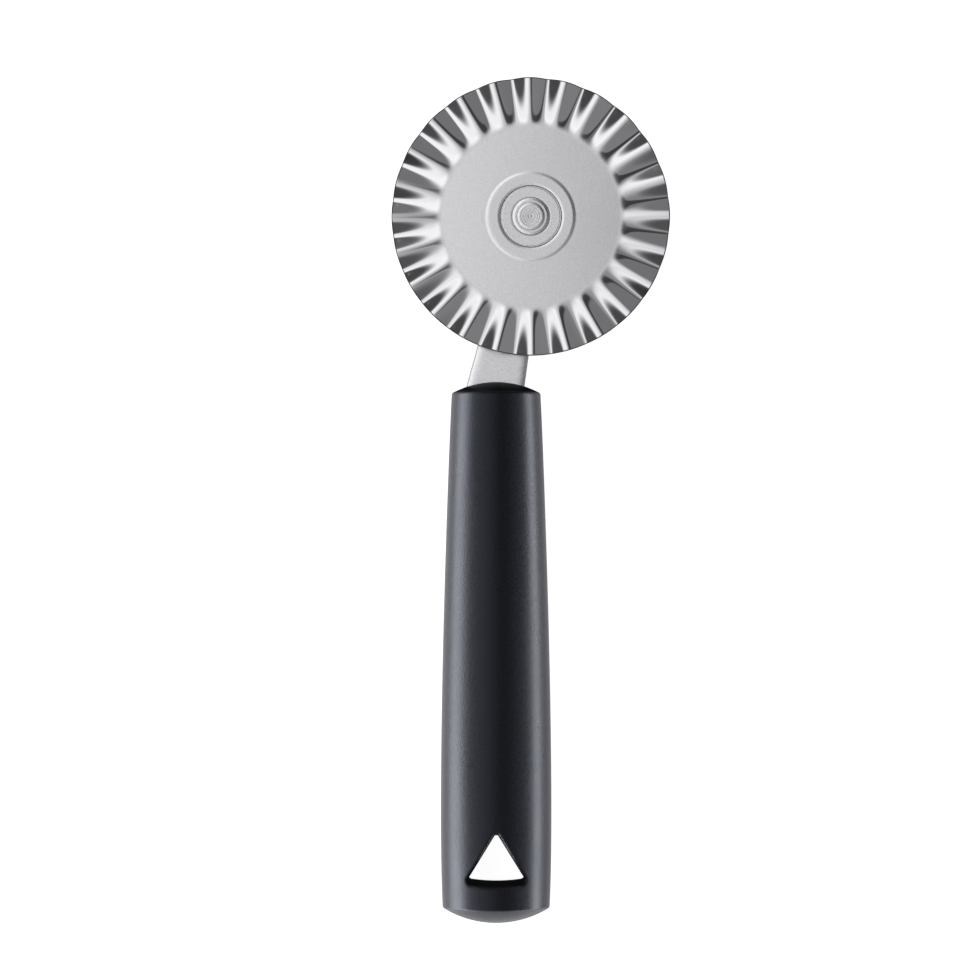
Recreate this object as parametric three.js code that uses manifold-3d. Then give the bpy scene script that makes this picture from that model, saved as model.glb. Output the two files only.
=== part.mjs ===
// Pastry wheel: a fluted steel disc that turns on a stub axle at the end of a flat tapered arm, with a round plastic grip.
// Millimetres. The wheel lies on a table: +Z is up and along the axle, +Y runs from the grip to the disc, +X is to the right.
import * as THREE from "three";
import { mergeVertices } from "three/addons/utils/BufferGeometryUtils.js";
import Module from "manifold-3d";

const wasm = await Module();
wasm.setup();

// ---- driving dimensions ----
// disc
const WHEEL_R = 30; // rim radius, measured on the flute walls
const RIM_DRAW_IN = 0.08; // how far the rim is drawn in at the valleys
const FLUTES = 24;
const FIRST_VALLEY_DEG = 8.08; // first valley, anticlockwise from +X
const SHEET = 0.8; // sheet thickness
const FLUTE_START_R = 19.2; // where the flutes leave the flat face
const FLUTE_EASE = 1.4; // length over which they take up their slope
const CREST_SLOPE = [0.06, 0.03]; // rise of the crests per millimetre of radius, after the ease and at the rim
const VALLEY_SLOPE = [0.165, 0.145]; // fall of the valleys, likewise
const VALLEY_FLAT = [0.09, 0.04]; // share of half a flute that is level in a valley, at the start and at the rim
const CREST_FLAT = [0.05, 0.075]; // the same on a crest
const HUB_RING_OUT_R = 9.65; // embossed ring round the hub, outer foot
const HUB_RING_IN_R = 6.6; // its inner foot, the wall of the washer's seat
const HUB_RING_H = 0.36;
const WEB_RISE = 0.23; // height of the flat web over the hub's centre
const BORE_R = 4.2;
// axle and the small turned pieces, heights from the middle plane of the disc
const AXLE_R = 3.0;
const AXLE_TIP_R = 2.92;
const AXLE_TIP_Z = 2.0;
const TAIL_R = 2.0; // riveted tail through the arm
const RIVET_R = 3.3;
const RIVET_H = 0.9;
const RUN_CLEARANCE = 0.1; // radial, between axle and what turns or sits on it
const BUSH_R = 4.12;
const BUSH_FLANGE_R = 5.4;
const BUSH_BACK_Z = -0.7;
const BUSH_FLANGE_Z = -0.45;
const BUSH_FRONT_Z = 0.41;
const WASHER_R = 6.35;
const WASHER_Z = [0.45, 0.8];
const COLLAR_R = 4.05;
const COLLAR_CHAMFER = 0.6;
const COLLAR_Z = [0.84, 1.7];
const SPACER_R = 6.0;
const SPACER_Z = [-3.35, -0.75];
// arm, as drawn round the axle centre
const ARM_T = 2.5;
const ARM_FRONT_Z = -3.4; // its face towards the disc
const ARM_EYE_R = 3.6; // rounded end round the axle
const ARM_EDGE_R = 0.7; // rounded edges
const ARM_ENTRY_Y = -36.6; // where it leaves the grip
const ARM_ENTRY_X = [-13.36, -1.34];
const ARM_SHOULDER_Y = -41; // step to the tang, inside the grip
const TANG_W = 8;
const TANG_END_Y = -112;
const TANG_NOTCH_Y = [-64, -92]; // keys for the moulded grip
const TANG_NOTCH_DEPTH = 1.3;
const TANG_NOTCH_LENGTH = 6;
const SLOT_GAP = 0.15;
// grip: radius against distance from its lower tip
const GRIP_X = -7.47; // its axis, from the axle
const GRIP_TIP_Y = -152.3; // its lower tip, from the axle
const GRIP_LENGTH = 116.75;
const GRIP_BOTTOM_DOME_R = 21.6;
const GRIP_TOP_DOME_R = 19.9;
const GRIP_SIDE = [
  [3.0, 11.1], [3.6, 11.43], [5.5, 11.53], [9, 11.65], [13.25, 11.73], [18.6, 11.8], [24.1, 11.82],
  [34.9, 11.76], [47.9, 11.6], [58.7, 11.38], [69.5, 11.07], [80.3, 10.76], [91.1, 10.43], [101.9, 10.0],
  [108.5, 9.7], [112.7, 9.54], [114.1, 9.42], [114.55, 9.15],
];
const GRIP_MAX_R = 11.82;
const GRIP_SEGMENTS = 48;
// hanging hole, a three-sided opening with rounded corners, heights from the lower tip
const HOLE_TOP = 19.5;
const HOLE_SEAT = 7.8; // middle of its lower edge
const HOLE_CORNER = [6.35, 9.6]; // outermost points of the lower corners
const HOLE_SEAT_FLAT = 3.2; // width of the level middle of the lower edge

// ---- where the pieces stand in the part's frame ----
const GRIP_Z = GRIP_MAX_R; // the grip rests on the table
const ARM_MID_Z = GRIP_Z;
const DISC_Z = ARM_MID_Z + ARM_T / 2 - ARM_FRONT_Z; // middle plane of the disc
const AXLE_Y = (-GRIP_TIP_Y - WHEEL_R) / 2; // y = 0 at mid-length

const steel = (c, rough) => new THREE.MeshStandardMaterial({ color: c, roughness: rough, metalness: 1 });
const plastic = (c, rough) => new THREE.MeshStandardMaterial({ color: c, roughness: rough, metalness: 0 });

// ---- solids and booleans ----
function solid(geometry) {
  const g = geometry.clone();
  g.deleteAttribute("normal");
  g.deleteAttribute("uv");
  const m = mergeVertices(g, 1e-4);
  const src = m.index.array;
  const keep = [];
  for (let i = 0; i < src.length; i += 3)
    if (src[i] !== src[i + 1] && src[i + 1] !== src[i + 2] && src[i] !== src[i + 2]) keep.push(src[i], src[i + 1], src[i + 2]);
  const make = (tri) =>
    new wasm.Manifold(new wasm.Mesh({ numProp: 3, vertProperties: new Float32Array(m.attributes.position.array), triVerts: new Uint32Array(tri) }));
  const s = make(keep);
  if (s.volume() > 0) return s;
  for (let i = 0; i < keep.length; i += 3) [keep[i + 1], keep[i + 2]] = [keep[i + 2], keep[i + 1]];
  return make(keep);
}

function geometryOf(s) {
  const m = s.getMesh();
  const v = new Float32Array(m.numVert * 3);
  for (let i = 0; i < m.numVert; i++) v.set(m.vertProperties.subarray(i * m.numProp, i * m.numProp + 3), i * 3);
  const g = new THREE.BufferGeometry();
  g.setAttribute("position", new THREE.BufferAttribute(v, 3));
  g.setIndex(new THREE.BufferAttribute(new Uint32Array(m.triVerts), 1));
  g.computeVertexNormals();
  return g;
}

// A turned piece about Z from [radius, height] points.
function turned(points, segments) {
  return new THREE.LatheGeometry(points.map(([r, z]) => new THREE.Vector2(r, z)), segments).rotateX(Math.PI / 2);
}
function ringOf(inner, outer, z0, z1, segments) {
  return turned([[inner, z0], [outer, z0], [outer, z1], [inner, z1], [inner, z0]], segments);
}
function prism(points, depth, zMid) {
  const shape = new THREE.Shape(points.map(([x, y]) => new THREE.Vector2(x, y)));
  return new THREE.ExtrudeGeometry(shape, { depth, bevelEnabled: false }).translate(0, 0, zMid - depth / 2);
}

// ---- fluted disc ----
// The crests rise a little from the flat face to the rim and the valleys fall more steeply; between them the middle of the sheet
// follows a smooth wave, and the two faces lie half a thickness off it along its normal.
function slopeSum(r, [s0, s1]) {
  const x = Math.min(Math.max((r - FLUTE_START_R) / FLUTE_EASE, 0), 1);
  const past = Math.max(r - FLUTE_START_R - FLUTE_EASE, 0);
  const run = WHEEL_R - FLUTE_START_R - FLUTE_EASE;
  return s0 * (FLUTE_EASE * (x ** 3 - x ** 4 / 2) + past) + ((s1 - s0) * past * past) / (2 * run);
}
// 0 in a valley, 1 on a crest
function wave(r, u) {
  const d = Math.abs(u + 0.5 - Math.floor(u + 0.5) - 0.5) * 2;
  const g = (r - FLUTE_START_R) / (WHEEL_R - FLUTE_START_R);
  const low = VALLEY_FLAT[0] + (VALLEY_FLAT[1] - VALLEY_FLAT[0]) * g;
  const high = CREST_FLAT[0] + (CREST_FLAT[1] - CREST_FLAT[0]) * g;
  const t = Math.min(Math.max((d - low) / (1 - low - high), 0), 1);
  return t * t * (3 - 2 * t);
}
function sheetPoint(f, u) {
  const rim = WHEEL_R - RIM_DRAW_IN * (1 - wave(WHEEL_R, u)) ** 2;
  const r = FLUTE_START_R + f * (rim - FLUTE_START_R);
  const a = THREE.MathUtils.degToRad(FIRST_VALLEY_DEG + (u * 360) / FLUTES);
  const crest = slopeSum(r, CREST_SLOPE);
  const valley = -slopeSum(r, VALLEY_SLOPE);
  return new THREE.Vector3(r * Math.cos(a), r * Math.sin(a), WEB_RISE + valley + (crest - valley) * wave(r, u));
}
function sheetNormal(f, u) {
  const e = 1e-3;
  const along = sheetPoint(f + e, u).sub(sheetPoint(f - e, u));
  const round = sheetPoint(f, u + e).sub(sheetPoint(f, u - e));
  return along.cross(round).normalize();
}
function discGeometry() {
  const halfSteps = [0, 0.04, 0.1, 0.165, 0.25, 0.335, 0.4]; // half a flute, valley to crest, closer at the bends
  const uList = [];
  for (let k = 0; k < FLUTES; k++) {
    for (const u of halfSteps) uList.push(k + u);
    for (const u of [0.5, ...halfSteps.slice(1).reverse().map((x) => 1 - x)]) uList.push(k + u);
  }
  const fine = uList.length;
  const coarse = FLUTES * 2;
  const perSide = fine / coarse;
  const pos = [];
  const idx = [];
  const put = (x, y, z) => pos.push(x, y, z) / 3 - 1;
  const hubRing = (r, z) =>
    Array.from({ length: coarse }, (_, j) => {
      const a = THREE.MathUtils.degToRad(FIRST_VALLEY_DEG + (j * 360) / coarse);
      return put(r * Math.cos(a), r * Math.sin(a), z);
    });
  const quad = (a, b, c, d) => idx.push(a, b, c, a, c, d);
  const h = SHEET / 2;
  const side = (sign, hub) => {
    const rings = hub.map(([r, z]) => hubRing(r, z));
    const flutes = [0, 0.065, 0.13, 0.3, 0.53, 0.77, 1].map((f) =>
      uList.map((u) => {
        const p = sheetPoint(f, u).addScaledVector(f === 0 ? new THREE.Vector3(0, 0, 1) : sheetNormal(f, u), sign * h);
        return put(p.x, p.y, p.z);
      }),
    );
    const start = idx.length;
    for (let i = 0; i + 1 < rings.length; i++)
      for (let j = 0; j < coarse; j++) {
        const k = (j + 1) % coarse;
        quad(rings[i][j], rings[i + 1][j], rings[i + 1][k], rings[i][k]);
      }
    const last = rings[rings.length - 1];
    for (let j = 0; j < coarse; j++) {
      const c0 = last[j];
      const c1 = last[(j + 1) % coarse];
      const f = (i) => flutes[0][(j * perSide + i) % fine];
      const mid = Math.floor(perSide / 2);
      for (let i = 0; i < mid; i++) idx.push(c0, f(i), f(i + 1));
      idx.push(c0, f(mid), c1);
      for (let i = mid; i < perSide; i++) idx.push(c1, f(i), f(i + 1));
    }
    for (let i = 0; i + 1 < flutes.length; i++)
      for (let j = 0; j < fine; j++) {
        const k = (j + 1) % fine;
        quad(flutes[i][j], flutes[i + 1][j], flutes[i + 1][k], flutes[i][k]);
      }
    if (sign < 0) for (let i = start; i < idx.length; i += 3) [idx[i + 1], idx[i + 2]] = [idx[i + 2], idx[i + 1]];
    return { bore: rings[0], rim: flutes[flutes.length - 1] };
  };
  const out = HUB_RING_OUT_R;
  const inn = HUB_RING_IN_R;
  const top = h + HUB_RING_H;
  const front = side(1, [[BORE_R, h], [inn, h], [inn + 0.25, top], [out - 0.35, top], [out, h + WEB_RISE]]);
  const back = side(-1, [[BORE_R, -h], [inn + 0.3, -h], [inn + 0.55, top - SHEET], [out - 0.65, top - SHEET], [out - 0.3, WEB_RISE - h]]);
  for (let j = 0; j < coarse; j++) {
    const k = (j + 1) % coarse;
    quad(front.bore[j], front.bore[k], back.bore[k], back.bore[j]);
  }
  for (let j = 0; j < fine; j++) {
    const k = (j + 1) % fine;
    quad(front.rim[j], back.rim[j], back.rim[k], front.rim[k]);
  }
  const g = new THREE.BufferGeometry();
  g.setAttribute("position", new THREE.Float32BufferAttribute(pos, 3));
  g.setIndex(idx);
  return g;
}

// ---- arm: rounded eye, tapered blade, tang with key notches ----
function armOutline(gap) {
  const tangent = (x, sign) => {
    const a = Math.atan2(ARM_ENTRY_Y, x) + sign * Math.acos(ARM_EYE_R / Math.hypot(x, ARM_ENTRY_Y));
    return [a, ARM_EYE_R * Math.cos(a), ARM_EYE_R * Math.sin(a)];
  };
  const [aL, xL, yL] = tangent(ARM_ENTRY_X[0], -1);
  const [aR, xR, yR] = tangent(ARM_ENTRY_X[1], 1);
  const atY = (x0, x1, y1, y) => x0 + ((y - ARM_ENTRY_Y) / (y1 - ARM_ENTRY_Y)) * (x1 - x0);
  return {
    leftAt: (y) => atY(ARM_ENTRY_X[0], xL, yL, y) - gap,
    rightAt: (y) => atY(ARM_ENTRY_X[1], xR, yR, y) + gap,
    arc: [aR, aL < aR ? aL + 2 * Math.PI : aL],
  };
}
function armGeometry() {
  const o = armOutline(0);
  const pts = [];
  const [a0, a1] = o.arc;
  for (let i = 0; i <= 16; i++) {
    const a = a0 + ((a1 - a0) * i) / 16;
    pts.push([ARM_EYE_R * Math.cos(a), ARM_EYE_R * Math.sin(a)]);
  }
  const xl = GRIP_X - TANG_W / 2;
  const xr = GRIP_X + TANG_W / 2;
  const n = TANG_NOTCH_LENGTH / 2;
  const notch = (y, x, inward) => [[x, y + n], [x + inward, y + n - 1.2], [x + inward, y - n + 1.2], [x, y - n]];
  pts.push([o.leftAt(ARM_SHOULDER_Y), ARM_SHOULDER_Y], [xl, ARM_SHOULDER_Y - 1.2]);
  for (const y of TANG_NOTCH_Y) pts.push(...notch(y, xl, TANG_NOTCH_DEPTH));
  pts.push([xl, TANG_END_Y + 2], [xl + 2, TANG_END_Y], [xr - 2, TANG_END_Y], [xr, TANG_END_Y + 2]);
  for (const y of [...TANG_NOTCH_Y].reverse()) pts.push(...notch(y, xr, -TANG_NOTCH_DEPTH).reverse());
  pts.push([xr, ARM_SHOULDER_Y - 1.2], [o.rightAt(ARM_SHOULDER_Y), ARM_SHOULDER_Y]);
  const shape = new THREE.Shape(pts.map(([x, y]) => new THREE.Vector2(x, y)));
  const blade = new THREE.ExtrudeGeometry(shape, {
    depth: ARM_T - 2 * ARM_EDGE_R, bevelEnabled: true, bevelThickness: ARM_EDGE_R, bevelSize: ARM_EDGE_R, bevelOffset: -ARM_EDGE_R, bevelSegments: 2,
  }).translate(0, 0, ARM_FRONT_Z - ARM_T + ARM_EDGE_R);
  const hole = turned([[0, -ARM_T], [TAIL_R + RUN_CLEARANCE, -ARM_T], [TAIL_R + RUN_CLEARANCE, ARM_T], [0, ARM_T]], 36).translate(0, 0, ARM_FRONT_Z - ARM_T / 2);
  return geometryOf(solid(blade).subtract(solid(hole)));
}

// ---- grip: turned body, slot for the tang, hanging hole ----
function holeOutline() {
  const [cx, cy] = HOLE_CORNER;
  const f = HOLE_SEAT_FLAT / 2;
  const right = [
    [f, HOLE_SEAT], [4.4, HOLE_SEAT + 0.62], [5.5, HOLE_SEAT + 0.98], [6.1, cy - 0.5], [cx, cy], [cx - 0.12, cy + 0.62], [1.05, HOLE_TOP - 0.75], [0.62, HOLE_TOP - 0.2], [0, HOLE_TOP],
  ];
  const left = right.slice(0, -1).reverse().map(([x, y]) => [-x, y]);
  return [...right, ...left];
}
function gripGeometry() {
  const dome = (R, r) => R - Math.sqrt(R * R - r * r);
  const pts = [[0, 0]];
  for (const r of [3.5, 7, 9.6, 10.6]) pts.push([r, dome(GRIP_BOTTOM_DOME_R, r)]);
  for (const [t, r] of GRIP_SIDE) pts.push([r, t]);
  for (const r of [8.7, 6.4, 3.2]) pts.push([r, GRIP_LENGTH - dome(GRIP_TOP_DOME_R, r)]);
  pts.push([0, GRIP_LENGTH]);
  const body = new THREE.LatheGeometry(pts.map(([r, t]) => new THREE.Vector2(r, t)), GRIP_SEGMENTS).translate(GRIP_X, GRIP_TIP_Y, 0);
  const hole = prism(holeOutline().map(([x, y]) => [x + GRIP_X, y + GRIP_TIP_Y]), 3 * GRIP_MAX_R, 0);
  const o = armOutline(SLOT_GAP);
  const low = ARM_SHOULDER_Y - 1.4;
  const mouth = prism([[o.leftAt(low), low], [o.rightAt(low), low], [o.rightAt(-30), -30], [o.leftAt(-30), -30]], ARM_T + 2 * SLOT_GAP, 0);
  const w = TANG_W / 2 + SLOT_GAP;
  const tang = prism([[GRIP_X - w, TANG_END_Y - 0.4], [GRIP_X + w, TANG_END_Y - 0.4], [GRIP_X + w, low + 1], [GRIP_X - w, low + 1]], ARM_T + 2 * SLOT_GAP, 0);
  return geometryOf(solid(body).subtract(solid(hole)).subtract(solid(mouth).add(solid(tang))));
}

// ---- the assembly ----
const root = new THREE.Group();
root.name = "pastry_wheel";
const hub = new THREE.Group(); // everything on the axle, from the middle plane of the disc
hub.name = "hub";
hub.position.set(0, AXLE_Y, DISC_Z);
root.add(hub);
const add = (group, name, geometry, material) => {
  const m = new THREE.Mesh(geometry, material);
  m.name = name;
  group.add(m);
  return m;
};

add(hub, "wheel_disc", discGeometry(), steel(0xc6c6c8, 0.35));
const IN_R = AXLE_R + RUN_CLEARANCE;
add(
  hub, "bearing_bush",
  turned([[IN_R, BUSH_BACK_Z], [BUSH_FLANGE_R, BUSH_BACK_Z], [BUSH_FLANGE_R, BUSH_FLANGE_Z], [BUSH_R, BUSH_FLANGE_Z], [BUSH_R, BUSH_FRONT_Z], [IN_R, BUSH_FRONT_Z], [IN_R, BUSH_BACK_Z]], 48)
    .rotateZ(THREE.MathUtils.degToRad(FIRST_VALLEY_DEG)),
  plastic(0xe6e4dc, 0.5),
);
add(hub, "front_washer", ringOf(IN_R, WASHER_R, ...WASHER_Z, 48), steel(0xcfcfd1, 0.3));
add(
  hub, "retaining_collar",
  turned(
    [[AXLE_TIP_R + 0.08, COLLAR_Z[0]], [COLLAR_R, COLLAR_Z[0]], [COLLAR_R, COLLAR_Z[1] - COLLAR_CHAMFER], [COLLAR_R - COLLAR_CHAMFER, COLLAR_Z[1]], [AXLE_TIP_R + 0.08, COLLAR_Z[1]], [AXLE_TIP_R + 0.08, COLLAR_Z[0]]],
    48,
  ),
  steel(0xbcbcbe, 0.3),
);
const ARM_BACK_Z = ARM_FRONT_Z - ARM_T;
add(
  hub, "stub_axle",
  turned(
    [
      [0, ARM_BACK_Z - 0.05 - RIVET_H], [1.5, ARM_BACK_Z - 0.05 - RIVET_H + 0.1], [2.6, ARM_BACK_Z - 0.4], [RIVET_R, ARM_BACK_Z - 0.2], [RIVET_R, ARM_BACK_Z - 0.05],
      [TAIL_R, ARM_BACK_Z - 0.05], [TAIL_R, ARM_FRONT_Z + 0.05], [AXLE_R, ARM_FRONT_Z + 0.05],
      [AXLE_R, COLLAR_Z[0] - 0.02], [AXLE_TIP_R, COLLAR_Z[0] - 0.02], [AXLE_TIP_R, AXLE_TIP_Z - 0.2], [AXLE_TIP_R - 0.2, AXLE_TIP_Z], [0, AXLE_TIP_Z],
    ],
    36,
  ),
  steel(0xb8b8ba, 0.3),
);
add(hub, "rear_spacer", ringOf(AXLE_R + 0.15, SPACER_R, ...SPACER_Z, 48), steel(0xbababc, 0.35));

// arm and grip are drawn round the axle centre in plan
const armGroup = new THREE.Group();
armGroup.name = "arm_and_disc_plane";
armGroup.position.set(0, AXLE_Y, DISC_Z);
root.add(armGroup);
add(armGroup, "tool_arm", armGeometry(), steel(0xc4c4c6, 0.35));
const gripGroup = new THREE.Group();
gripGroup.name = "grip_axis";
gripGroup.position.set(0, AXLE_Y, GRIP_Z);
root.add(gripGroup);
add(gripGroup, "handle_grip", gripGeometry(), plastic(0x1c1e20, 0.45));

export default root;
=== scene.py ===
import math

import bmesh
import bpy
import numpy as np
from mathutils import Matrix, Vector, geometry


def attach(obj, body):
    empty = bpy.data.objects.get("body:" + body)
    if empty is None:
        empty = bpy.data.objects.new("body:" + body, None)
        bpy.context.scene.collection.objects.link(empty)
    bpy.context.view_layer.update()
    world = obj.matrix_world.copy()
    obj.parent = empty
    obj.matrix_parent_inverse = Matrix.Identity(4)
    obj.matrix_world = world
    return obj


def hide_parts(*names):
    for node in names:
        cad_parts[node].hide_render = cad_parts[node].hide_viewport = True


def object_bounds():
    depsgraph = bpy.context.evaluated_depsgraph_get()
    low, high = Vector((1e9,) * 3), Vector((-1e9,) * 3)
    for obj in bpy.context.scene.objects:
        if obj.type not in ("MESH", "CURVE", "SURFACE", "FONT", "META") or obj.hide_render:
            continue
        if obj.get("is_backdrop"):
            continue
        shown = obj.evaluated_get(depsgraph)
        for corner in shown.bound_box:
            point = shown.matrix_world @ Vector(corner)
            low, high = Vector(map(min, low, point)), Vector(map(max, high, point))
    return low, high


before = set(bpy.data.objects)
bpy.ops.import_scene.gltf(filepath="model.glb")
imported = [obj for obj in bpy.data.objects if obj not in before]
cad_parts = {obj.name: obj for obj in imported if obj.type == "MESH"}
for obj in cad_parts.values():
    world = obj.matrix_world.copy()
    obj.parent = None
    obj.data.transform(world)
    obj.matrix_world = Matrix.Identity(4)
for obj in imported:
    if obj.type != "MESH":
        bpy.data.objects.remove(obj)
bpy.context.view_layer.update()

MM = 0.001

# ---------------------------------------------------------------- dimensions, millimetres, the CAD's own
AXLE = np.array([0.0, 61.15, 16.47])  # axle centre on the middle plane of the disc
WHEEL_R, RIM_DRAW_IN, FLUTES, FIRST_VALLEY = 30.0, 0.08, 24, 8.08
SHEET, FLUTE_START_R, FLUTE_EASE = 0.8, 19.2, 1.4
CREST_SLOPE, VALLEY_SLOPE = (0.06, 0.03), (0.165, 0.145)  # rise of the crests and fall of the valleys, after the ease-in and at the rim
VALLEY_FLAT, CREST_FLAT = (0.09, 0.04), (0.05, 0.075)  # level share of half a flute, at the start and at the rim
HUB_OUT, HUB_IN, HUB_H, BORE_R = 9.75, 6.6, 0.36, 4.2
WEB_RISE, WEB_DISH = 0.25, 0.0004  # the web's height over the hub's centre, and how it falls off towards the flutes
ARM_T, ARM_FRONT, ARM_EYE_R, ARM_EDGE = 2.5, -3.4, 3.6, 0.75
GRIP_X, GRIP_Z, GRIP_TIP_Y, GRIP_LEN = -7.47, 11.82, -152.55, 117.0
DOME_LOW, DOME_TOP = 21.6, 19.9
GRIP_SIDE = [(3.0, 11.41), (5.5, 11.53), (9, 11.65), (13.25, 11.73), (18.6, 11.8), (24.1, 11.82), (34.9, 11.76),
             (47.9, 11.6), (58.7, 11.38), (69.5, 11.07), (80.3, 10.76), (91.1, 10.43), (101.9, 10.0), (108.5, 9.72), (114.5, 9.45)]


# ---------------------------------------------------------------- mesh helpers
def piece(name, verts, faces, body, node, material, sharp=None, second=None, marked=()):
    me = bpy.data.meshes.new(name)
    me.from_pydata((np.asarray(verts, float) * MM).tolist(), [], [list(map(int, f)) for f in faces])
    for i in marked:
        me.polygons[i].material_index = 1
    bm = bmesh.new()
    bm.from_mesh(me)
    bmesh.ops.remove_doubles(bm, verts=bm.verts, dist=1e-7)
    bmesh.ops.recalc_face_normals(bm, faces=bm.faces)
    for f in bm.faces:
        f.smooth = True
    if sharp is not None:
        for e in bm.edges:
            if len(e.link_faces) == 2 and e.calc_face_angle(0.0) > math.radians(sharp):
                e.smooth = False
    bm.to_mesh(me)
    bm.free()
    ob = bpy.data.objects.new(name, me)
    bpy.context.scene.collection.objects.link(ob)
    me.materials.append(material)
    if second is not None:
        me.materials.append(second)
    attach(ob, body)
    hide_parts(node)
    return ob


def fillet(points, steps=5):
    """A polyline of (x, y, radius) corners turned into points, each corner rounded by its radius; closed."""
    out = []
    n = len(points)
    for i in range(n):
        p = np.array(points[i][:2], float)
        a = np.array(points[i - 1][:2], float) - p
        b = np.array(points[(i + 1) % n][:2], float) - p
        r = points[i][2]
        la, lb = np.linalg.norm(a), np.linalg.norm(b)
        if r <= 0 or la < 1e-9 or lb < 1e-9:
            out.append(tuple(p))
            continue
        a, b = a / la, b / lb
        half = math.acos(max(-1, min(1, float(a @ b)))) / 2
        d = min(r / math.tan(half), 0.49 * la, 0.49 * lb)
        r = d * math.tan(half)
        c = p + (a + b) / np.linalg.norm(a + b) * (r / math.sin(half))
        s, e = p + a * d - c, p + b * d - c
        sweep = math.atan2(s[0] * e[1] - s[1] * e[0], s @ e)
        for k in range(steps + 1):
            t = sweep * k / steps
            out.append((c[0] + s[0] * math.cos(t) - s[1] * math.sin(t), c[1] + s[0] * math.sin(t) + s[1] * math.cos(t)))
    return out


def lathe(profile, n, closed):
    """Verts and faces of a piece turned about the axle from (radius, height) points."""
    ang = np.arange(n) * 2 * math.pi / n
    verts, rows, faces = [], [], []
    for r, z in profile:
        if r < 1e-6:
            rows.append([len(verts)] * n)
            verts.append((0, 0, z))
        else:
            rows.append(list(range(len(verts), len(verts) + n)))
            verts += [(r * math.cos(a), r * math.sin(a), z) for a in ang]
    pairs = list(zip(rows, rows[1:] + rows[:1])) if closed else list(zip(rows, rows[1:]))
    for lo, hi in pairs:
        for j in range(n):
            k = (j + 1) % n
            f = [lo[j], lo[k], hi[k], hi[j]]
            f = [v for i, v in enumerate(f) if v != f[i - 1]]
            if len(f) > 2:
                faces.append(f)
    return np.array(verts), faces


def smooth01(x):
    x = np.clip(x, 0, 1)
    return x * x * (3 - 2 * x)


# ---------------------------------------------------------------- fluted disc
def slope_sum(r, slopes):
    x = np.clip((r - FLUTE_START_R) / FLUTE_EASE, 0, 1)
    past = np.maximum(r - FLUTE_START_R - FLUTE_EASE, 0)
    run = WHEEL_R - FLUTE_START_R - FLUTE_EASE
    return slopes[0] * (FLUTE_EASE * (x ** 3 - x ** 4 / 2) + past) + (slopes[1] - slopes[0]) * past * past / (2 * run)


def even_ramp(x, bend=0.17):
    """0 to 1 with an even slope between two short bends."""
    x = np.clip(x, 0, 1)
    k = 1 / (2 * bend * (1 - bend))
    return np.where(x < bend, k * x * x, np.where(x > 1 - bend, 1 - k * (1 - x) ** 2, (x - bend / 2) / (1 - bend)))


def wave(r, u):
    """0 in a valley, 1 on a crest."""
    d = np.abs(np.mod(u + 0.5, 1.0) - 0.5) * 2
    g = (r - FLUTE_START_R) / (WHEEL_R - FLUTE_START_R)
    low = VALLEY_FLAT[0] + (VALLEY_FLAT[1] - VALLEY_FLAT[0]) * g
    high = CREST_FLAT[0] + (CREST_FLAT[1] - CREST_FLAT[0]) * g
    x = (d - low) / (1 - low - high)
    flat = 0.6 * np.clip(g, 0, 1) ** 1.5  # the flanks grow flatter towards the rim
    return (1 - flat) * smooth01(x) + flat * even_ramp(x)


def web(r):
    return WEB_RISE - WEB_DISH * max(r * r - 100.0, 0.0)


def sheet_point(f, u):
    """A point of the sheet's middle surface."""
    r = FLUTE_START_R + f * (WHEEL_R - RIM_DRAW_IN * (1 - wave(WHEEL_R, u)) ** 2 - FLUTE_START_R)
    a = np.radians(FIRST_VALLEY + u * 15.0)
    crest, valley = slope_sum(r, CREST_SLOPE), -slope_sum(r, VALLEY_SLOPE)
    return np.stack([r * np.cos(a), r * np.sin(a), web(FLUTE_START_R) + valley + (crest - valley) * wave(r, u)], -1)


def sheet_normal(f, u):
    e, g = 1e-3, 2e-3
    along = sheet_point(f + e, u) - sheet_point(np.maximum(f - e, 0), u)
    around = sheet_point(f, u + g) - sheet_point(f, u - g)
    n = np.cross(along, around)
    return n / np.linalg.norm(n, axis=-1, keepdims=True)


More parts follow.
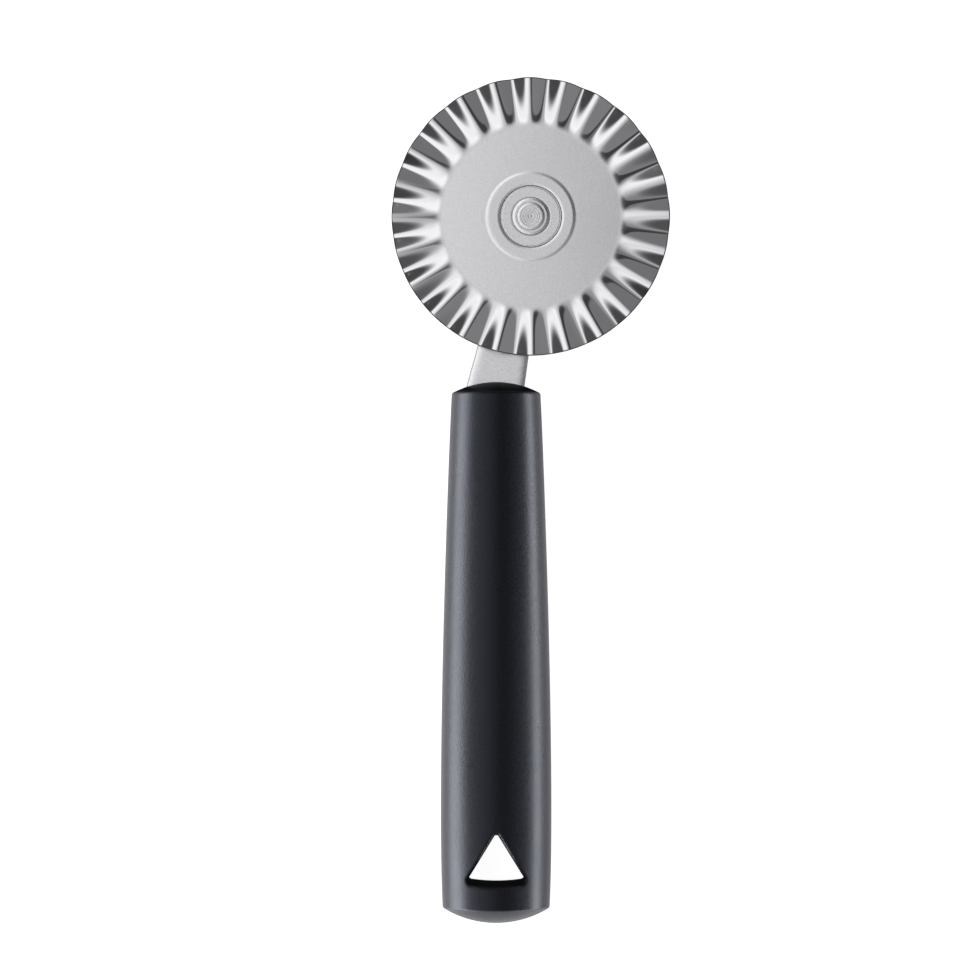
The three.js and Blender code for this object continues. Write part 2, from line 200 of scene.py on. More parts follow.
def disc():
    one = [0.0, 0.02, 0.045, 0.075, 0.105, 0.135, 0.165, 0.2, 0.235, 0.27, 0.305, 0.34, 0.37, 0.40, 0.43, 0.46]
    one = one + [0.5] + [1 - d for d in one[:0:-1]]
    per = len(one)
    fine = FLUTES * per
    ratio = 4
    coarse = fine // ratio
    u = np.concatenate([np.array(one) + k for k in range(FLUTES)])
    fs = [0, 0.02, 0.04, 0.06, 0.08, 0.1, 0.125, 0.15, 0.19, 0.24, 0.3, 0.37, 0.45, 0.54, 0.64, 0.74, 0.84, 0.93, 0.97, 0.98]
    fs_back = [0, 0.04, 0.08, 0.125, 0.19, 0.27, 0.37, 0.5, 0.64, 0.8, 0.93, 0.98]
    verts, faces = [], []

    def put(block):
        start = sum(len(b) for b in verts)
        verts.append(np.asarray(block, float))
        return np.arange(start, start + len(block))

    ca = np.radians(FIRST_VALLEY) + np.arange(coarse) * 2 * math.pi / coarse

    def hub_ring(r, z, uneven=0.0):
        r = r + uneven * np.cos(ca - 0.45)
        return put(np.stack([r * np.cos(ca), r * np.sin(ca), np.full(coarse, z)], -1))

    def strip(a, b):
        n = len(a)
        for j in range(n):
            k = (j + 1) % n
            faces.append((a[j], b[j], b[k], a[k]))

    h = SHEET / 2

    def side(sign, hub):
        rings = [hub_ring(*row) for row in hub]
        flutes = []
        for f in fs if sign > 0 else fs_back:
            fa = np.full(fine, f)
            nrm = sheet_normal(fa, u) if f > 0 else np.tile([0.0, 0.0, 1.0], (fine, 1))
            flutes.append(put(sheet_point(fa, u) + sign * h * nrm))
        for a, b in zip(rings, rings[1:]):
            strip(a, b)
        last = rings[-1]
        for j in range(coarse):
            c0, c1 = last[j], last[(j + 1) % coarse]
            g = [flutes[0][(j * ratio + i) % fine] for i in range(ratio + 1)]
            mid = ratio // 2
            for i in range(mid):
                faces.append((c0, g[i], g[i + 1]))
            faces.append((c0, g[mid], c1))
            for i in range(mid, ratio):
                faces.append((c1, g[i], g[i + 1]))
        for a, b in zip(flutes, flutes[1:]):
            strip(a, b)
        return rings[0], flutes[-1]

    def bumped(z0, shift, steps):
        """Hub profile with the embossed ring; shift moves the bends for the back of the sheet."""
        prof = [(BORE_R, z0), (BORE_R + 0.05, z0), (5.4, z0)]
        for k in range(steps + 1):
            t = k / steps
            prof.append((HUB_IN - 0.1 + shift + 0.30 * t, z0 + HUB_H * float(smooth01(t))))
        prof += [(7.3 + shift, z0 + HUB_H), (8.2, z0 + HUB_H), (8.8 - shift, z0 + HUB_H)]
        for k in range(steps + 1):
            t = k / steps
            s = t * t / 0.32 if t < 0.2 else 1 - (1 - t) ** 2 / 0.32 if t > 0.8 else (t - 0.1) / 0.8
            prof.append((HUB_OUT - 0.02 - shift - 0.54 * (1 - t), z0 + HUB_H + (WEB_RISE - HUB_H) * s, -0.2 * (1 - t)))
        return prof + [(r, z0 + web(r)) for r in (10.0, 10.8, 12.0, 13.5, 15.0, 16.5, 17.8, 18.9)]

    front_bore, front_rim = side(1, bumped(h, 0.0, 10))
    back_bore, back_rim = side(-1, bumped(-h, 0.35, 6))
    strip(front_bore, back_bore)
    ua = np.full(fine, 1.0)
    p, n = sheet_point(ua, u), sheet_normal(ua, u)
    out = p * [1, 1, 0]
    out /= np.linalg.norm(out, axis=1, keepdims=True)
    rim = [put(p + n * k - out * d) for k, d in ((0.38, 0.1), (0.33, 0.035), (0.25, 0.0), (-0.25, 0.0), (-0.33, 0.035), (-0.38, 0.1))]
    first = len(faces)
    for a, b in zip([front_rim] + rim, rim + [back_rim]):
        strip(a, b)
    return np.concatenate(verts) + AXLE, faces, range(first, len(faces))


# ---------------------------------------------------------------- handle
def side_radius():
    t, r = np.array(GRIP_SIDE).T
    c = np.polyfit((t - 60) / 60, r, 6)
    return lambda x: np.polyval(c, (np.asarray(x, float) - 60) / 60) + 0.15


R_SIDE = side_radius()


def grip_profile():
    """(radius, distance from the lower tip), from tip to top: dome, rounded edge, barrel side, rounded edge, dome."""
    def corner(dome, t_of, rho, sign):
        # centre of the edge's round: rho inside both the dome and the side
        tc = t_of
        for _ in range(60):
            rc = float(R_SIDE(tc)) - rho
            depth = dome - math.sqrt((dome - rho) ** 2 - rc * rc)
            tc = depth if sign > 0 else GRIP_LEN - depth
        return rc, tc

    pts = []
    rho = 0.6
    rc, tc = corner(DOME_LOW, 3.5, rho, 1)
    dirn = np.array([rc, tc - DOME_LOW])
    dirn /= np.linalg.norm(dirn)
    a0 = math.atan2(dirn[1], dirn[0])  # angle of the last dome point seen from the corner's centre
    edge = rc + rho * math.cos(a0)
    for r in np.linspace(0, edge, 16)[:-1]:
        pts.append((r, DOME_LOW - math.sqrt(DOME_LOW ** 2 - r * r)))
    for k in range(9):
        a = a0 * (1 - k / 8)
        pts.append((rc + rho * math.cos(a), tc + rho * math.sin(a)))
    t_low = tc
    rho2 = 0.7
    rc2, tc2 = corner(DOME_TOP, 113.5, rho2, -1)
    ts = np.concatenate([np.arange(math.ceil(t_low + 0.4), 24.0, 0.6), np.arange(24.0, tc2 - 0.8, 2.2)])
    for t in ts:
        pts.append((float(R_SIDE(t)), float(t)))
    dirn = np.array([rc2, tc2 - (GRIP_LEN - DOME_TOP)])
    a1 = math.atan2(dirn[1], dirn[0])
    for k in range(9):
        a = a1 * k / 8
        pts.append((rc2 + rho2 * math.cos(a), tc2 + rho2 * math.sin(a)))
    edge = rc2 + rho2 * math.cos(a1)
    for r in np.linspace(edge, 0, 16)[1:]:
        pts.append((r, GRIP_LEN - DOME_TOP + math.sqrt(DOME_TOP ** 2 - r * r)))
    return pts


PROFILE = grip_profile()
PROF_T = np.array([t for r, t in PROFILE])
PROF_R = np.array([r for r, t in PROFILE])


def hole_outline():
    """The hanging hole's wall in (x from the handle's axis, distance from the tip): straight sides, rounded corners, bowed lower edge."""
    slope, apex_t, r_apex = 0.6, 19.84, 0.55
    ang = math.atan(slope)
    cx, ct, rc = 5.1, 9.6, 0.95  # lower corner
    base_t, base_r = 8.2, 29.8
    pts = []
    ca = (0.0, apex_t - r_apex / math.sin(ang))
    for k in range(13):  # over the apex, right to left
        a = ang + (math.pi - 2 * ang) * k / 12
        pts.append((ca[0] + r_apex * math.cos(a), ca[1] + r_apex * math.sin(a)))
    a0 = math.pi - ang
    left_top = pts[-1]
    left_low = (-cx + rc * math.cos(a0), ct + rc * math.sin(a0))
    for k in range(1, 14):
        s = k / 14
        pts.append((left_top[0] + (left_low[0] - left_top[0]) * s, left_top[1] + (left_low[1] - left_top[1]) * s))
    a1 = math.atan2(ct - (base_t + base_r), -cx) + 2 * math.pi
    for k in range(15):
        a = a0 + (a1 - a0) * k / 14
        pts.append((-cx + rc * math.cos(a), ct + rc * math.sin(a)))
    b0 = a1
    b1 = 3 * math.pi - a1
    for k in range(1, 22):
        a = b0 + (b1 - b0) * k / 22
        pts.append((base_r * math.cos(a), base_t + base_r + base_r * math.sin(a)))
    right = [(-x, t) for x, t in pts[12:12 + 14 + 15]][::-1]
    pts += right[:-1] if right[-1] == pts[0] else right
    out = []
    for p in pts:
        if not out or math.hypot(p[0] - out[-1][0], p[1] - out[-1][1]) > 1e-6:
            out.append(p)
    if math.hypot(out[0][0] - out[-1][0], out[0][1] - out[-1][1]) < 1e-6:
        out.pop()
    return np.array(out) + [0.05, 0.25]


def outward(loop):
    """Unit normals of an anticlockwise loop of 2-D points, pointing out of it."""
    d = np.roll(loop, -1, 0) - np.roll(loop, 1, 0)
    n = np.stack([d[:, 1], -d[:, 0]], -1)
    return n / np.linalg.norm(n, axis=1, keepdims=True)


def inside(loop, p):
    x, y = p
    a, b = loop, np.roll(loop, -1, 0)
    cross = ((a[:, 1] > y) != (b[:, 1] > y)) & (x < (b[:, 0] - a[:, 0]) * (y - a[:, 1]) / (b[:, 1] - a[:, 1] + 1e-12) + a[:, 0])
    return bool(np.count_nonzero(cross) % 2)


def handle():
    n = 192
    verts, faces = [], []

    def put(x, y, z):
        verts.append((x, y, z))
        return len(verts) - 1

    ang = np.arange(n) * 2 * math.pi / n  # 0 at +Z, towards +X
    rows = []
    for r, t in PROFILE:
        if r < 1e-6:
            rows.append([put(0, t, 0)] * n)
        else:
            rows.append([put(r * math.sin(a), t, r * math.cos(a)) for a in ang])
    radius = lambda t: float(np.interp(t, PROF_T, PROF_R))

    # rows and columns left open for the hanging hole, front and back, and for the slot in the top dome
    i0 = next(i for i, t in enumerate(PROF_T) if t > 5.9)
    i1 = next(i for i, t in enumerate(PROF_T) if t > 22.2)
    half_cols = int(round(math.asin(8.6 / radius(10)) / (2 * math.pi / n)))
    slot_row = next(i for i in range(len(PROFILE) - 1, 0, -1) if PROF_R[i] > 7.6)
    front_cols = [j % n for j in range(-half_cols, half_cols + 1)]
    back_cols = [(n // 2 + j) % n for j in range(-half_cols, half_cols + 1)]
    open_cols = set(front_cols[:-1]) | set(back_cols[:-1])
    for i in range(len(rows) - 1):
        if i >= slot_row:
            continue
        for j in range(n):
            if i0 <= i < i1 and j in open_cols:
                continue
            k = (j + 1) % n
            f = [rows[i][j], rows[i][k], rows[i + 1][k], rows[i + 1][j]]
            f = [v for q, v in enumerate(f) if v != f[q - 1]]
            if len(f) > 2:
                faces.append(f)

    def patch(border, ring, lift, extra):
        """Fills between a border of existing verts and a ring of existing verts, both as (index, (a, b)); extra 2-D points are lifted onto the surface."""
        pts = [p for _, p in border] + [p for _, p in ring]
        ids = [i for i, _ in border] + [i for i, _ in ring]
        nb, nr = len(border), len(ring)
        edges = [(k, (k + 1) % nb) for k in range(nb)] + [(nb + k, nb + (k + 1) % nr) for k in range(nr)]
        for p in extra:
            ids.append(None)
            pts.append(p)
        co, _, tris, orig, _, _ = geometry.delaunay_2d_cdt([Vector(p) for p in pts], edges, [], 0, 1e-7)
        outer, inner = np.array([p for _, p in border]), np.array([p for _, p in ring])
        made = {}
        for q, c in enumerate(co):
            src = [o for o in orig[q] if ids[o] is not None]
            made[q] = ids[src[0]] if src else put(*lift(c[0], c[1]))
        for tri in tris:
            c = sum((Vector(co[q]) for q in tri), Vector((0, 0))) / 3
            if inside(outer, c) and not inside(inner, c):
                faces.append([made[q] for q in tri])

    # hanging hole: rounded lips on both faces and a straight wall between them
    wall = hole_outline()
    nrm = outward(wall)
    lip, lip_deep = 0.85, 1.5
    rings = {}
    for sign in (1, -1):
        cols = front_cols if sign > 0 else back_cols[::-1]
        top = lambda x, t: math.sqrt(max(radius(t) ** 2 - x * x, 0.0))
        chain = []
        for k in range(13):
            d = lip * (1 - math.cos(math.pi / 2 * k / 12))  # 0 at the wall, lip at the outside
            row = []
            for p, q in zip(wall, nrm):
                x, t = p + q * d
                drop = lip_deep * (1 - math.sqrt(max(1 - (1 - d / lip) ** 2, 0.0)))
                row.append((put(x, t, sign * (top(x, t) - drop)), (x, t)))
            chain.append(row)
        for a, b in zip(chain, chain[1:]):
            m = len(a)
            for j in range(m):
                k = (j + 1) % m
                faces.append([a[j][0], a[k][0], b[k][0], b[j][0]])
        flat = lambda i: (i, (verts[i][0], verts[i][1]))
        low = [flat(rows[i0][j]) for j in cols]
        high = [flat(rows[i1][j]) for j in cols]
        right = [flat(rows[i][cols[-1]]) for i in range(i0 + 1, i1)]
        left = [flat(rows[i][cols[0]]) for i in range(i0 + 1, i1)]
        border = low + right + high[::-1] + left[::-1]
        outer_lip = np.array([p for _, p in chain[-1]])
        keep = outer_lip + outward(outer_lip) * 0.22
        extra = []
        for i in range(i0 + 1, i1):
            for j in cols[1:-1]:
                x, t, _ = verts[rows[i][j]]
                if not inside(keep, (x, t)):
                    extra.append((x, t))
        for step in (0.35, 0.75):
            extra += [tuple(p) for p in (outer_lip + outward(outer_lip) * step)[::2]]
        patch(border, chain[-1], lambda x, t: (x, t, sign * top(x, t)), extra)
        rings[sign] = [i for i, _ in chain[0]]
    prev = rings[1]
    for k in range(1, 9):
        if k == 8:
            cur = rings[-1]
        else:
            s = k / 8
            cur = [put(*(np.array(verts[a]) * (1 - s) + np.array(verts[b]) * s)) for a, b in zip(rings[1], rings[-1])]
        for j in range(len(cur)):
            m = (j + 1) % len(cur)
            faces.append([prev[j], prev[m], cur[m], cur[j]])
        prev = cur

    # slot in the top dome: it follows the arm's own section, down past the shoulder to the end of the tang
    dome = lambda x, z: GRIP_LEN - DOME_TOP + math.sqrt(DOME_TOP ** 2 - x * x - z * z)
    entry = -36.6 - GRIP_TIP_Y

    def section(y_local, gap, half_t):
        lx, rx = arm_edges(y_local + GRIP_TIP_Y)
        return [(lx - GRIP_X - gap, -half_t), (rx - GRIP_X + gap, -half_t), (rx - GRIP_X + gap, half_t), (lx - GRIP_X - gap, half_t)]

    gap = 0.05
    mouth = fillet([(x, z, ARM_EDGE) for x, z in section(entry, gap, ARM_T / 2 + gap)], 6)
    m_loop = np.array(mouth)
    m_nrm = outward(m_loop)
    round_r = 0.12
    chain = []
    for k in range(5):
        d = round_r * (1 - math.cos(math.pi / 2 * k / 4))
        row = []
        for p, q in zip(m_loop, m_nrm):
            x, z = p + q * d
            drop = round_r - math.sqrt(max(round_r ** 2 - (round_r - d) ** 2, 0.0))
            row.append((put(x, dome(x, z) - drop, z), (x, z)))
        chain.append(row)
    for a, b in zip(chain, chain[1:]):
        for j in range(len(a)):
            k = (j + 1) % len(a)
            faces.append([a[j][0], a[k][0], b[k][0], b[j][0]])
    border = [(rows[slot_row][j], (verts[rows[slot_row][j]][0], verts[rows[slot_row][j]][2])) for j in range(n)][::-1]
    lipring = np.array([p for _, p in chain[-1]])
    keep = lipring + outward(lipring) * 0.15
    extra = []
    for rr in np.linspace(0.4, PROF_R[slot_row] - 0.5, 16):
        for a in np.arange(64) * 2 * math.pi / 64:
            p = (rr * math.sin(a), rr * math.cos(a))
            if not inside(keep, p):
                extra.append(p)
    patch(border, chain[-1], lambda x, z: (x, dome(x, z), z), extra)
    prev = [i for i, _ in chain[0]]
    shoulder = -42.4 - GRIP_TIP_Y
    tang = [(x, z) for x, z in fillet([(-4.15, -1.4, 0.3), (4.15, -1.4, 0.3), (4.15, 1.4, 0.3), (-4.15, 1.4, 0.3)], 6)]
    deep = fillet([(x, z, ARM_EDGE) for x, z in section(shoulder, 0.15, ARM_T / 2 + 0.15)], 6)
    for loop, y in ((deep, shoulder), (tang, shoulder - 0.05), (tang, -112.4 - GRIP_TIP_Y)):
        cur = [put(x, y, z) for x, z in loop]
        for j in range(len(cur)):
            k = (j + 1) % len(cur)
            faces.append([prev[j], prev[k], cur[k], cur[j]])
        prev = cur
    faces.append(prev)

    used = sorted({v for f in faces for v in f})
    index = {v: q for q, v in enumerate(used)}
    co = np.array([verts[v] for v in used]) + [GRIP_X, AXLE[1] + GRIP_TIP_Y, GRIP_Z]
    return co, [[index[v] for v in f] for f in faces]


# ---------------------------------------------------------------- arm
ENTRY_Y, ENTRY_X = -36.6, (-13.9, -1.34)


def arm_tangent(x, sign):
    a = math.atan2(ENTRY_Y, x) + sign * math.acos(ARM_EYE_R / math.hypot(x, ENTRY_Y))
    return a, ARM_EYE_R * math.cos(a), ARM_EYE_R * math.sin(a)


def arm_edges(y):
    """The blade's left and right edge at a distance along the handle, from the axle."""
    out = []
    for x, sign in ((ENTRY_X[0], -1), (ENTRY_X[1], 1)):
        _, tx, ty = arm_tangent(x, sign)
        out.append(x + (y - ENTRY_Y) / (ty - ENTRY_Y) * (tx - x))
    return out


def arm():
    a_left = arm_tangent(ENTRY_X[0], -1)[0] + 2 * math.pi
    a_right = arm_tangent(ENTRY_X[1], 1)[0]
    shoulder = -41.0
    lx, rx = arm_edges(shoulder)
    xl, xr = GRIP_X - 4.0, GRIP_X + 4.0
    eye = [(ARM_EYE_R * math.cos(a), ARM_EYE_R * math.sin(a)) for a in np.linspace(a_right, a_left, 33)]
    corners = [(lx, shoulder, 0.8), (xl, shoulder - 1.2, 0.5)]
    for y in (-64, -92):
        corners += [(xl, y + 3, 0.5), (xl + 1.3, y + 1.8, 0.5), (xl + 1.3, y - 1.8, 0.5), (xl, y - 3, 0.5)]
    corners += [(xl, -110, 0.6), (xl + 2, -112, 0.6), (xr - 2, -112, 0.6), (xr, -110, 0.6)]
    for y in (-92, -64):
        corners += [(xr, y - 3, 0.5), (xr - 1.3, y - 1.8, 0.5), (xr - 1.3, y + 1.8, 0.5), (xr, y + 3, 0.5)]
    corners += [(xr, shoulder - 1.2, 0.5), (rx, shoulder, 0.8)]
    rounded = fillet([(eye[-1][0], eye[-1][1], 0)] + corners + [(eye[0][0], eye[0][1], 0)], 4)
    body = rounded[1:-1]
    # points along the two visible edges, so that the shading there is even
    left = [tuple(np.array(eye[-1]) + (np.array(body[0]) - np.array(eye[-1])) * s) for s in np.linspace(0, 1, 14)[1:-1]]
    right = [tuple(np.array(body[-1]) + (np.array(eye[0]) - np.array(body[-1])) * s) for s in np.linspace(0, 1, 14)[1:-1]]
    loop = np.array(eye + left + body + right)
    nrm = outward(loop)
    hole = [(2.1 * math.cos(a), 2.1 * math.sin(a)) for a in np.arange(64) * 2 * math.pi / 64]
    verts, faces = [], []
    mid = ARM_FRONT - ARM_T / 2

    def ring(pts, z):
        start = len(verts)
        verts.extend((x, y, z) for x, y in pts)
        return list(range(start, start + len(pts)))

    # the blade's edges are well rounded, the tang's only a little
    edge = 0.14 + (ARM_EDGE - 0.14) * smooth01((loop[:, 1] + 40.0) / 1.5) - 0.3 * smooth01((loop[:, 1] + 12.0) / 8.0)

    def ring_z(pts, zs):
        start = len(verts)
        verts.extend((x, y, z) for (x, y), z in zip(pts, zs))
        return list(range(start, start + len(pts)))

    # the blade's rounding in shares of its depth: wide and shallow, then a tight edge
    shape = [(2.5, 0.0), (2.0, 0.004), (1.53, 0.016), (1.13, 0.037), (0.8, 0.067), (0.51, 0.107), (0.27, 0.157), (0.107, 0.22), (0.027, 0.293), (0.0, 0.40)]
    shape = [(i, ARM_T / 2, -d) for i, d in shape] + [(i, -ARM_T / 2, d) for i, d in shape[::-1]]
    rings = [ring_z(loop - nrm * (edge * inset)[:, None], mid + z + edge * drop) for inset, z, drop in shape]
    for a, b in zip(rings, rings[1:]):
        for j in range(len(a)):
            k = (j + 1) % len(a)
            faces.append([a[j], b[j], b[k], a[k]])
    holes = []
    for k, z in ((0, ARM_T / 2), (1, -ARM_T / 2)):
        outer = rings[0] if k == 0 else rings[-1]
        # a flat rim just inside the rounded edge keeps the face's shading flat
        flat = ring(loop - nrm * (edge * 2.5 + 0.1)[:, None], mid + z)
        for j in range(len(outer)):
            m = (j + 1) % len(outer)
            faces.append([outer[j], outer[m], flat[m], flat[j]])
        hr = ring(hole, mid + z)
        pts = [verts[i][:2] for i in flat] + [verts[i][:2] for i in hr]
        nf, nh = len(flat), len(hr)
        edges = [(q, (q + 1) % nf) for q in range(nf)] + [(nf + q, nf + (q + 1) % nh) for q in range(nh)]
        co, _, tris, orig, _, _ = geometry.delaunay_2d_cdt([Vector(p) for p in pts], edges, [], 0, 1e-7)
        ids = flat + hr
        o_loop, i_loop = np.array(pts[:nf]), np.array(pts[nf:])
        for tri in tris:
            c = sum((Vector(co[q]) for q in tri), Vector((0, 0))) / 3
            if inside(o_loop, c) and not inside(i_loop, c):
                faces.append([ids[orig[q][0]] for q in tri])
        holes.append(hr)
    for j in range(len(hole)):
        k = (j + 1) % len(hole)
        faces.append([holes[0][j], holes[0][k], holes[1][k], holes[1][j]])
    return np.array(verts) + AXLE, faces


# ---------------------------------------------------------------- materials
def nodes_of(name):
    m = bpy.data.materials.new(name)
    m.use_nodes = True
    nt = m.node_tree
    bsdf = nt.nodes["Principled BSDF"]
    return m, nt, bsdf


def add(nt, kind, **values):
    nd = nt.nodes.new(kind)
    for k, v in values.items():
        if k in nd.inputs:
            nd.inputs[k].default_value = v
        else:
            setattr(nd, k, v)
    return nd


def math_node(nt, op, a, b=None, clamp=False):
    nd = nt.nodes.new("ShaderNodeMath")
    nd.operation = op
    nd.use_clamp = clamp
    for i, v in enumerate((a, b)):
        if v is None:
            continue
        if isinstance(v, (int, float)):
            nd.inputs[i].default_value = v
        else:
            nt.links.new(v, nd.inputs[i])
    return nd.outputs[0]


def ramp_range(nt, x, lo, hi, a, b, kind="SMOOTHSTEP"):
    nd = nt.nodes.new("ShaderNodeMapRange")
    nd.interpolation_type = kind
    nd.inputs["From Min"].default_value = lo
    nd.inputs["From Max"].default_value = hi
    nd.inputs["To Min"].default_value = a
    nd.inputs["To Max"].default_value = b
    nt.links.new(x, nd.inputs["Value"])
    return nd.outputs["Result"]


def noise(nt, vec, scale, detail=2.0, rough=0.5):
    nd = nt.nodes.new("ShaderNodeTexNoise")
    nd.inputs["Scale"].default_value = scale
    nd.inputs["Detail"].default_value = detail
    nd.inputs["Roughness"].default_value = rough
    nt.links.new(vec, nd.inputs["Vector"])
    return nd.outputs["Fac"]


def bump(nt, height, strength, distance, normal=None):
    nd = nt.nodes.new("ShaderNodeBump")
    if isinstance(strength, (int, float)):
        nd.inputs["Strength"].default_value = strength
    else:
        nt.links.new(strength, nd.inputs["Strength"])
    nd.inputs["Distance"].default_value = distance
    nt.links.new(height, nd.inputs["Height"])
    if normal is not None:
        nt.links.new(normal, nd.inputs["Normal"])
    return nd.outputs["Normal"]


def object_coords(nt):
    tc = nt.nodes.new("ShaderNodeTexCoord")
    return tc.outputs["Object"]


def from_axle(nt, vec):
    """Object coordinates measured from the axle centre on the disc's middle plane: radius and height, metres."""
    sub = nt.nodes.new("ShaderNodeVectorMath")
    sub.operation = "SUBTRACT"
    sub.inputs[1].default_value = tuple(AXLE * MM)
    nt.links.new(vec, sub.inputs[0])
    sep = nt.nodes.new("ShaderNodeSeparateXYZ")
    nt.links.new(sub.outputs[0], sep.inputs[0])
    r2 = math_node(nt, "ADD", math_node(nt, "MULTIPLY", sep.outputs["X"], sep.outputs["X"]), math_node(nt, "MULTIPLY", sep.outputs["Y"], sep.outputs["Y"]))
    return math_node(nt, "SQRT", r2), sep.outputs["Z"], sub.outputs[0]


def tint(nt, fac, dark, light):
    nd = nt.nodes.new("ShaderNodeMix")
    nd.data_type = "RGBA"
    nd.inputs["A"].default_value = (*dark, 1)
    nd.inputs["B"].default_value = (*light, 1)
    nt.links.new(fac, nd.inputs["Factor"])
    return nd.outputs["Result"]


def disc_material():
    m, nt, b = nodes_of("disc_steel_satin_and_polished")
    vec = object_coords(nt)
    rad, z, local = from_axle(nt, vec)
    # the forming die has burnished the sheet where the flutes begin
    edge = math_node(nt, "ADD", rad, math_node(nt, "MULTIPLY", math_node(nt, "SUBTRACT", noise(nt, vec, 260.0, 2.0, 0.5), 0.5), 0.0006))
    polished = ramp_range(nt, edge, 0.0193, 0.0213, 0.0, 1.0)
    fine = noise(nt, vec, 5200.0, 3.0, 0.6)
    blast = noise(nt, vec, 1500.0, 2.0, 0.5)
    cloud = noise(nt, vec, 90.0, 3.0, 0.5)
    satin = math_node(nt, "ADD", ramp_range(nt, fine, 0.3, 0.7, 0.245, 0.305, "LINEAR"), ramp_range(nt, cloud, 0.3, 0.7, -0.02, 0.02, "LINEAR"))
    gloss = math_node(nt, "ADD", ramp_range(nt, cloud, 0.3, 0.7, 0.09, 0.13, "LINEAR"), ramp_range(nt, fine, 0.3, 0.7, -0.01, 0.01, "LINEAR"))
    mix = nt.nodes.new("ShaderNodeMix")
    mix.data_type = "FLOAT"
    nt.links.new(polished, mix.inputs["Factor"])
    nt.links.new(satin, mix.inputs["A"])
    nt.links.new(gloss, mix.inputs["B"])
    nt.links.new(mix.outputs["Result"], b.inputs["Roughness"])
    mottle = math_node(nt, "ADD", math_node(nt, "MULTIPLY", cloud, 0.4), math_node(nt, "MULTIPLY", blast, 0.6))
    face = nt.nodes.new("ShaderNodeMix")
    face.data_type = "RGBA"
    nt.links.new(polished, face.inputs["Factor"])
    nt.links.new(tint(nt, ramp_range(nt, mottle, 0.36, 0.64, 0.0, 1.0, "LINEAR"), (0.935, 0.935, 0.942), (0.99, 0.99, 0.99)), face.inputs["A"])
    nt.links.new(tint(nt, cloud, (0.86, 0.86, 0.868), (0.91, 0.91, 0.916)), face.inputs["B"])
    nt.links.new(face.outputs["Result"], b.inputs["Base Color"])
    b.inputs["Metallic"].default_value = 1.0
    grain = math_node(nt, "MULTIPLY", math_node(nt, "ADD", fine, blast), ramp_range(nt, polished, 0.0, 1.0, 1.0, 0.2, "LINEAR"))
    nt.links.new(bump(nt, grain, 0.14, 0.00002), b.inputs["Normal"])
    return m


def steel_material(name, lo, hi, r0, r1, grain_scale, grain, rings=0.0):
    m, nt, b = nodes_of(name)
    vec = object_coords(nt)
    rad, z, local = from_axle(nt, vec)
    fine = noise(nt, vec, grain_scale, 3.0, 0.6)
    cloud = noise(nt, vec, 140.0, 3.0, 0.5)
    blast = noise(nt, vec, 1500.0, 2.0, 0.5)
    mottle = math_node(nt, "ADD", math_node(nt, "MULTIPLY", cloud, 0.4), math_node(nt, "MULTIPLY", blast, 0.6))
    nt.links.new(tint(nt, ramp_range(nt, mottle, 0.36, 0.64, 0.0, 1.0, "LINEAR"), lo, hi), b.inputs["Base Color"])
    nt.links.new(ramp_range(nt, fine, 0.3, 0.7, r0, r1, "LINEAR"), b.inputs["Roughness"])
    b.inputs["Metallic"].default_value = 1.0
    height = fine
    if rings:
        # concentric tool marks: noise that changes with the radius only
        cmb = nt.nodes.new("ShaderNodeCombineXYZ")
        nt.links.new(rad, cmb.inputs["X"])
        marks = noise(nt, cmb.outputs[0], rings, 4.0, 0.7)
        height = math_node(nt, "ADD", math_node(nt, "MULTIPLY", marks, 1.6), math_node(nt, "MULTIPLY", fine, 0.4))
    nt.links.new(bump(nt, height, grain, 0.00003), b.inputs["Normal"])
    return m


def handle_material():
    m, nt, b = nodes_of("handle_black_satin_plastic")
    vec = object_coords(nt)
    fine = noise(nt, vec, 3600.0, 2.0, 0.55)
    pits = nt.nodes.new("ShaderNodeTexVoronoi")
    pits.inputs["Scale"].default_value = 2600.0
    nt.links.new(vec, pits.inputs["Vector"])
    cloud = noise(nt, vec, 60.0, 3.0, 0.5)
    rough = math_node(nt, "ADD", ramp_range(nt, fine, 0.3, 0.7, 0.27, 0.45, "LINEAR"), ramp_range(nt, cloud, 0.3, 0.7, -0.02, 0.02, "LINEAR"))
    nt.links.new(rough, b.inputs["Roughness"])
    # painted shade: the top dome round the arm gets a far darker base colour and almost no specular reflection, so it
    # stays dark
    place = nt.nodes.new("ShaderNodeSeparateXYZ")
    nt.links.new(vec, place.inputs[0])
    nt.links.new(ramp_range(nt, place.outputs["Y"], 0.0226, 0.0238, 0.205, 0.008), b.inputs["Specular IOR Level"])
    skin_with_painted_dome_shade = nt.nodes.new("ShaderNodeMix")
    skin_with_painted_dome_shade.data_type = "RGBA"
    nt.links.new(ramp_range(nt, place.outputs["Y"], 0.0226, 0.0238, 0.0, 1.0), skin_with_painted_dome_shade.inputs["Factor"])
    nt.links.new(tint(nt, fine, (0.0046, 0.0051, 0.0066), (0.0146, 0.0156, 0.0197)), skin_with_painted_dome_shade.inputs["A"])
    # painted shade: the dark colour of the top dome, darker than the rest of the grip
    nt.links.new(tint(nt, fine, (0.0018, 0.0019, 0.0023), (0.0040, 0.0042, 0.0050)), skin_with_painted_dome_shade.inputs["B"])
    nt.links.new(skin_with_painted_dome_shade.outputs["Result"], b.inputs["Base Color"])
    b.inputs["Specular Tint"].default_value = (0.79, 0.84, 1.0, 1)
    height = math_node(nt, "ADD", math_node(nt, "ADD", fine, math_node(nt, "MULTIPLY", noise(nt, vec, 1900.0, 2.0, 0.5), 0.35)), math_node(nt, "MULTIPLY", pits.outputs["Distance"], 0.6))
    # weaker grain on the right side, whose narrower highlight shows it more
    depth = ramp_range(nt, place.outputs["X"], -0.005, 0.0, 0.5, 0.22)
    nt.links.new(bump(nt, height, depth, 0.00005), b.inputs["Normal"])
    return m


